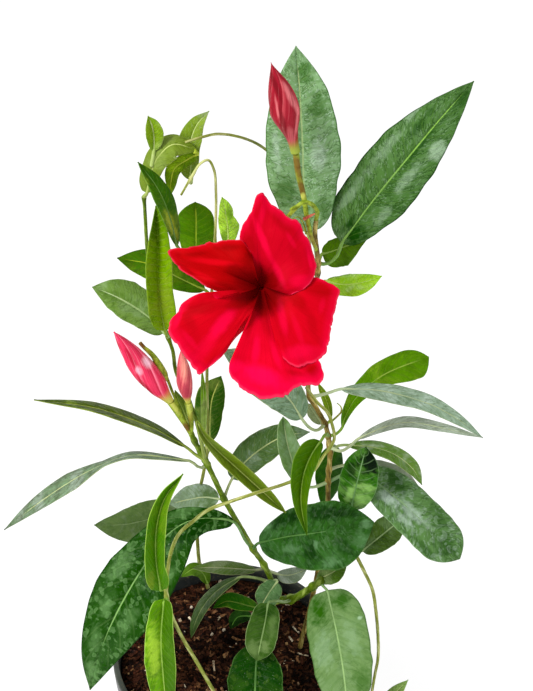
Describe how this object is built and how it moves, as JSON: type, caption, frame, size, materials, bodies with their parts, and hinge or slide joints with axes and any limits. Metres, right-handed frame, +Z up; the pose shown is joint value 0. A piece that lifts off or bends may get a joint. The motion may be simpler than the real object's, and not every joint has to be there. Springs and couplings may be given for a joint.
{
  "type": "potted mandevilla plant",
  "caption": "Climbing mandevilla in a round nursery pot, with twining stems, pointed leaves in pairs, an open red flower and pink spiral buds.",
  "frame": {"origin": "centre of the pot's flat underside, which stands on the surface", "axes": "+Z up along the pot, -Y towards the side that the open flower faces, +X to that viewer's right"},
  "size_m": [0.2731, 0.1416, 0.4946],
  "materials": {
    "pot_plastic": "charcoal moulded nursery-pot plastic, softly shiny",
    "soil": "damp coir and bark crumb, matt, with pale grains",
    "stem_brown": "woody brown bark, matt",
    "stem_green": "smooth green bark, satin",
    "stem_olive": "tan and olive vine, satin",
    "leaf_deep": "dark glossy blistered leaf with pale veins",
    "leaf_mid": "mid green satin leaf with a pale midrib",
    "leaf_grey": "grey-green satin leaf",
    "leaf_bright": "young yellow-green satin leaf",
    "leaf_olive": "olive leaf seen nearly on its edge",
    "petal_red": "velvety crimson petal, darkest in the throat",
    "bud_pink": "satin pink-crimson bud with twisted ridges",
    "bud_green": "yellow-green satin flower stalk"
  },
  "bodies": {
    "root": {"pot": "pot_plastic", "soil": "soil", "stem_main": "stem_brown", "stem_left": "stem_green", "stem_back": "stem_olive", "stem_upper_left": "stem_green", "stem_arching": "stem_olive", "stem_hanging": "stem_green", "stem_low": "stem_brown", "stem_top": "stem_olive", "leaf_top": "leaf_mid", "leaf_top_right": "leaf_deep", "leaf_top_back": "leaf_deep", "leaf_bright_right": "leaf_bright", "leaf_tip_bright": "leaf_bright", "leaf_pointed": "leaf_deep", "leaf_folded": "leaf_bright", "leaf_left_upper": "leaf_deep", "leaf_left_middle": "leaf_mid", "leaf_middle_back": "leaf_deep", "leaf_small_wavy": "leaf_bright", "leaf_long_left": "leaf_olive", "leaf_twisted_left": "leaf_grey", "leaf_back_grey": "leaf_grey", "leaf_arch_upper": "leaf_bright", "leaf_arch_lower": "leaf_bright", "leaf_big_left": "leaf_deep", "leaf_pale_back": "leaf_grey", "leaf_olive_strip": "leaf_olive", "leaf_centre_back": "leaf_deep", "leaf_centre_folded": "leaf_grey", "leaf_centre_hanging": "leaf_bright", "leaf_centre_dark": "leaf_deep", "leaf_under_flower": "leaf_grey", "leaf_right_blunt": "leaf_bright", "leaf_right_long": "leaf_grey", "leaf_right_narrow": "leaf_grey", "leaf_right_drooping": "leaf_deep", "leaf_right_curled": "leaf_deep", "leaf_right_big": "leaf_deep", "leaf_right_edge": "leaf_grey", "leaf_right_lower": "leaf_grey", "leaf_wide_centre": "leaf_deep", "leaf_front_right": "leaf_mid", "leaf_crinkled": "leaf_grey", "leaf_spoon": "leaf_mid", "leaf_front_dark": "leaf_deep", "leaf_dusty_back": "leaf_grey", "leaf_narrow_low": "leaf_grey", "leaf_centre_upright": "leaf_deep", "flower_corolla": "petal_red", "flower_stalk": "bud_green", "bud_top": "bud_pink", "bud_left": "bud_pink", "bud_small": "bud_pink", "bud_top_stalk": "bud_green", "bud_pair_stalk": "bud_green"}
  },
  "joints": []
}
